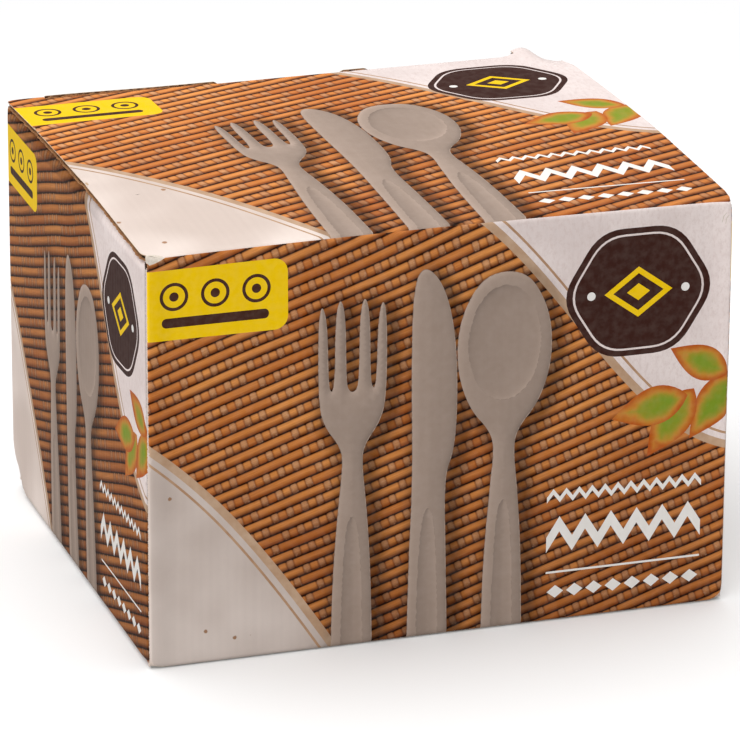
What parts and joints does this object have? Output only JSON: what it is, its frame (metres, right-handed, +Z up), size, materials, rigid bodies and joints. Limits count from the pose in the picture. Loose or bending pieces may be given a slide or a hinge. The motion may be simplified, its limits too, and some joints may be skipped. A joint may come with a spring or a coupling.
{
  "type": "plastic cutlery pack",
  "caption": "Shut retail carton of reusable plastic cutlery: a printed box of fine corrugated board with a front-hinged tuck lid.",
  "frame": {"origin": "centre of the base, on the surface that the pack stands on", "axes": "+X to the right along the width as the front is seen, -Y out of the front panel, +Z up"},
  "size_m": [0.2216, 0.1936, 0.1585],
  "materials": {
    "printed_board": "printed corrugated board with a glossy film, tan raw edges"
  },
  "bodies": {
    "root": {"cutlery_carton": "printed_board"}
  },
  "joints": []
}
